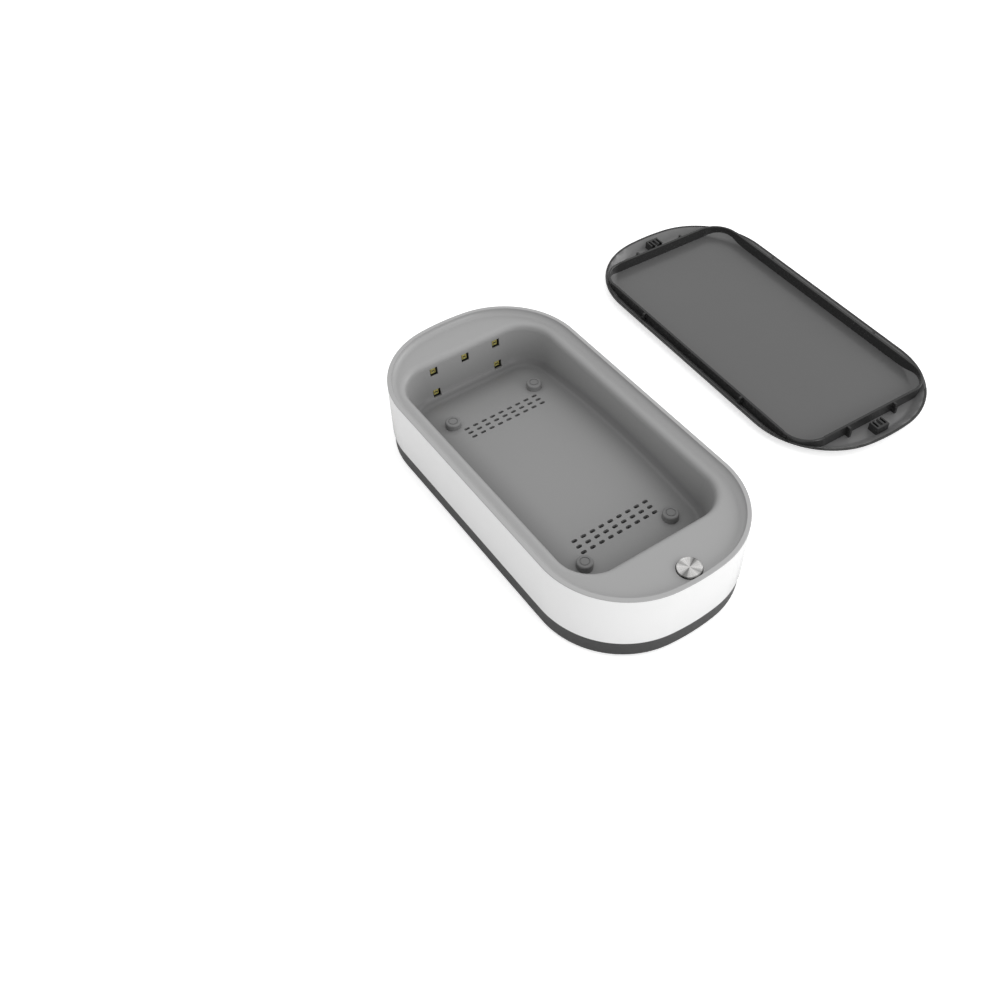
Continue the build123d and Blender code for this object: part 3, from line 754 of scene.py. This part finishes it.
def bandRing():
    # the white band: a profile with softened edges, carried round the body's outline
    p = bandPiece
    low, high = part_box("outer_band")
    edge = p["edge"]
    turns = [math.radians(15 * k) for k in range(7)]
    corner = [(edge * (math.sin(turn) - 1), edge * (1 - math.cos(turn))) for turn in turns]
    profile = [(-p["wall"], low.z)] + [(x, low.z + y) for x, y in corner]
    profile += [(x, high.z - y) for x, y in reversed(corner)]
    profile += [(-p["lip"], high.z), (-p["lip"], p["lipZ"]), (-p["wall"], p["lipZ"])]
    section = helper("bandProfile", loopMesh("bandProfile", [(x, -z, 0) for x, z in profile]))
    cutter = bmesh.new()
    shape = stadium(p["portWidth"], p["portHeight"])
    ring = [cutter.verts.new((x, high.y + p["portOut"], p["portZ"] + z)) for x, z in shape]
    face = cutter.faces.new(ring)
    pulled = bmesh.ops.extrude_face_region(cutter, geom=[face])["geom"]
    for vert in (v for v in pulled if isinstance(v, bmesh.types.BMVert)):
        vert.co.y -= p["portDeep"]
    cut = bpy.data.meshes.new("portCutter")
    cutter.to_mesh(cut)
    cutter.free()
    host = helper("band", loopMesh("bandPath", [(x, y, 0) for x, y in bodyOutline()]))
    g = Grower("bandSweep", {"Profile": section, "Port": helper("portCutter", outwards(cut)), "Scale": 1.0})
    swept = g.sweep(False)
    port = g.node("GeometryNodeObjectInfo", None, {"Object": g.given("Port")}, "Geometry")
    holed = g.node("GeometryNodeMeshBoolean", {"operation": "DIFFERENCE"}, {"Mesh 1": swept, "Mesh 2": port})
    mesh = outwards(g.grow(host, g.finish(holed, finishes["band"])))
    return settle("band_ring", mesh, "housing", "band", ["outer_band"], 40)


bandRing()

ribPiece = {
    "insetSide": 6.15 * mm,  # the frame of ribs: outer faces in from the lid's edge
    "insetEnd": 16.6 * mm,
    "corner": 17 * mm,
    "line": 0.75 * mm,  # the middle of a rib's wall, in from its outer face
    "wall": 1.46 * mm,
    "soft": 0.25 * mm,
    "low": 5.7 * mm,  # above the table
    "high": 8.75 * mm,
    "turn": math.radians(-2.1),
    "steps": 14,
    "overlap": 0.4 * mm,  # into the straight ribs
    "gussetFromMiddle": (18.0 * mm, 46.5 * mm),
    "gussetOverlap": 0.5 * mm,
    "gussetReach": 2.3 * mm,
    "sideShare": 0.8,  # the side gussets reach less far
    "lidWidth": 116.7 * mm,
    "lidLength": 230.2 * mm,
}


def ribBends():
    # full-height bends that join the lid's straight ribs, and the tops of the gussets outside them
    p = ribPiece
    low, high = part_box("lid_shell")
    middle = (low + high) / 2
    halfX, halfY = p["lidWidth"] / 2 - p["insetSide"], p["lidLength"] / 2 - p["insetEnd"]
    cornerX, cornerY, reach = halfX - p["corner"], halfY - p["corner"], p["corner"] - p["line"]
    acrossX, alongY = p["gussetFromMiddle"]
    arc = [(halfX - p["line"], cornerY - p["overlap"])]
    for k in range(p["steps"] + 1):
        at = math.pi / 2 * k / p["steps"]
        arc.append((cornerX + reach * math.cos(at), cornerY + reach * math.sin(at)))
    arc.append((cornerX - p["overlap"], halfY - p["line"]))
    endPost = [(acrossX, halfY - p["gussetOverlap"]), (acrossX, halfY + p["gussetReach"])]
    sideReach = p["sideShare"] * p["gussetReach"]
    sidePost = [(halfX - p["gussetOverlap"], alongY), (halfX + sideReach, alongY)]
    runs = []
    for wayX in (-1, 1):
        for wayY in (-1, 1):
            runs += [[(wayX * x, wayY * y) for x, y in run] for run in (arc, endPost, sidePost)]
    verts, edges = [], []
    for run in runs:
        edges += [(len(verts) + k, len(verts) + k + 1) for k in range(len(run) - 1)]
        for x, y in run:
            turned = Matrix.Rotation(p["turn"], 2) @ Vector((x, y))
            verts.append((middle.x + turned.x, middle.y + turned.y, tableZ + p["low"]))
    half, top, soft = p["wall"] / 2, p["high"] - p["low"], p["soft"]
    profile = [(-half, 0), (half, 0), (half, top - soft)]
    profile += [(half - soft, top), (soft - half, top), (-half, top - soft)]
    section = helper("ribProfile", loopMesh("ribProfile", [(x, -z, 0) for x, z in profile]))
    host = helper("ribs", newMesh("ribPath", verts, edges, []))
    g = Grower("ribSweep", {"Profile": section, "Scale": 1.0})
    mesh = outwards(g.grow(host, g.finish(g.sweep(True), finishes["lid"])))
    return settle("rib_bends", mesh, "lid", "lid", (), 40)


ribBends()

dishPiece = {
    "rings": [(-0.55 * mm, 7.1 * mm), (5.5 * mm, -0.6 * mm), (12 * mm, -0.6 * mm)],  # height, inset
    "slack": 0.05 * mm,
}


def lidDish():
    # the lid, kept inside its own sloping side, so that the ribs' corners don't come out through it
    p = dishPiece
    low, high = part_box("lid_shell")
    middle = (low + high) / 2
    turn = Matrix.Rotation(ribPiece["turn"], 2)
    verts, faces = [], []
    for height, inset in p["rings"]:
        for place in bodyOutline(inset - p["slack"]):
            turned = turn @ Vector(place)
            verts.append((middle.x + turned.x, middle.y + turned.y, tableZ + height))
    count = len(verts) // len(p["rings"])
    for ring in range(len(p["rings"]) - 1):
        for k in range(count):
            after = (k + 1) % count
            start = ring * count
            faces.append((start + k, start + after, start + after + count, start + k + count))
    faces += [range(count), range(len(verts) - count, len(verts))]
    envelope = outwards(newMesh("lidEnvelope", verts, [], faces))
    host = helper("lidCopy", outwards(nodes["lid_shell"].data.copy()))
    g = Grower("lidTrim", {"Envelope": helper("lidEnvelope", envelope)})
    around = g.node("GeometryNodeObjectInfo", None, {"Object": g.given("Envelope")}, "Geometry")
    both = {"Mesh 2": [g.given("Geometry"), around]}
    kept = g.node("GeometryNodeMeshBoolean", {"operation": "INTERSECT"}, both)
    mesh = g.grow(host, g.finish(kept, finishes["lid"]))
    return settle("lid_dish", mesh, "lid", "lid", ["lid_shell"])


lidDish()

portPiece = {
    "pads": 6,
    "pitch": 0.9 * mm,
    "pad": (0.5 * mm, 2.4 * mm, 0.06 * mm),
    "deep": 3.2 * mm,  # the pads' middle, in from the mouth
    "tongue": 0.7 * mm,
    "sunk": 0.01 * mm,
}


def portPads():
    # gold pads along both faces of the port's tongue
    p = portPiece
    low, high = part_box("usb_socket")
    padY, middleZ = high.y - p["deep"], (low.z + high.z) / 2
    pad = blockMesh("pad", p["pad"], 0.02 * mm)
    points, aims = [], []
    for k in range(p["pads"]):
        padX = (k - (p["pads"] - 1) / 2) * p["pitch"]
        for way in (-1, 1):
            points.append((padX, padY, middleZ + way * (p["tongue"] / 2 - p["sunk"])))
            aims.append(Vector((0, 0, way)))
    mesh = strewn("port_pads", points, aims, [(pad, contactGold)])
    return settle("port_pads", mesh, "housing", "socket")


portPads()

tableLook = {"white": 0.88, "lift": 0.55, "gap": 0.02 * mm}  # the gap keeps floor and lid from one plane


def floorFinish():
    f = Finish("floorWhite")
    fine = f.noise(40.0, 2.0)
    camera = f.node("ShaderNodeLightPath", out="Is Camera Ray")
    matt = f.node(
        "ShaderNodeBsdfPrincipled",
        None,
        {
            "Base Color": f.tint(fine, grey(tableLook["white"] - 0.01), grey(tableLook["white"] + 0.01)),
            "Roughness": 0.9,
            "Specular IOR Level": 0.1,
        },
    )
    lit = f.node("ShaderNodeEmission", None, {"Color": (1, 1, 1, 1), "Strength": tableLook["lift"]})
    both = f.node("ShaderNodeAddShader", None, {0: matt, 1: lit})
    shown = f.node("ShaderNodeMixShader", None, {0: camera, 1: matt, 2: both})
    f.node("ShaderNodeOutputMaterial", None, {"Surface": shown})
    return f.material


bpy.ops.mesh.primitive_plane_add(size=12, location=(0, 0, tableZ - tableLook["gap"]))
floor = bpy.context.object
floor.name = "floor"
floor.data.materials.append(floorFinish())

studio = {
    "sky": 0.73,
    "key": {"at": (0.35, -1.45, 0.75), "size": 0.7, "power": 5.5},
    "right": {"at": (1.35, -0.25, 0.55), "size": 0.9, "power": 6.0},
    "top": {"at": (-0.2, 0.1, 1.6), "size": 0.7, "power": 1.4},
}
world = bpy.data.worlds.new("studio")
bpy.context.scene.world = world
world.use_nodes = True
sky = world.node_tree.nodes["Background"]
sky.inputs["Color"].default_value = (1, 1, 1, 1)
sky.inputs["Strength"].default_value = studio["sky"]
for name in ("key", "right", "top"):
    lamp = studio[name]
    light = bpy.data.lights.new(name, "AREA")
    light.size = lamp["size"]
    light.energy = lamp["power"]
    holder = bpy.data.objects.new(name, light)
    holder.location = lamp["at"]
    holder.rotation_mode = "QUATERNION"
    holder.rotation_quaternion = Vector(lamp["at"]).to_track_quat("Z", "Y")
    bpy.context.scene.collection.objects.link(holder)

camera = {
    "azimuth": math.radians(-32.594),
    "elevation": math.radians(48.530),
    "roll": math.radians(-2.087),
    "focal": 1.083,  # focal length, in picture widths
    "distance": 584.2 * mm,
    "aimHeight": 19.7 * mm,  # point on the box's middle line that the view is measured from
    "aimAcross": 0.057342,  # where that point shows, in picture widths right of the middle
    "aimUp": 0.031713,
}


def placeCamera():
    a, e, roll = camera["azimuth"], camera["elevation"], camera["roll"]
    back = Vector((math.sin(a) * math.cos(e), -math.cos(a) * math.cos(e), math.sin(e)))
    level = Vector((0, 0, 1)).cross(back).normalized()
    upright = back.cross(level)
    right = math.cos(roll) * level + math.sin(roll) * upright
    up = math.cos(roll) * upright - math.sin(roll) * level
    reach = camera["distance"] / camera["focal"]
    eye = Vector((0, 0, camera["aimHeight"])) + back * camera["distance"]
    eye -= right * camera["aimAcross"] * reach + up * camera["aimUp"] * reach
    lens = bpy.data.cameras.new("camera")
    lens.sensor_width = 36
    lens.lens = camera["focal"] * lens.sensor_width
    lens.clip_start = 0.01
    holder = bpy.data.objects.new("camera", lens)
    holder.matrix_world = Matrix.Translation(eye) @ Matrix((right, up, back)).transposed().to_4x4()
    bpy.context.scene.collection.objects.link(holder)
    bpy.context.scene.camera = holder


placeCamera()
bpy.context.scene.view_settings.view_transform = "Standard"
print("floor, light and camera set")
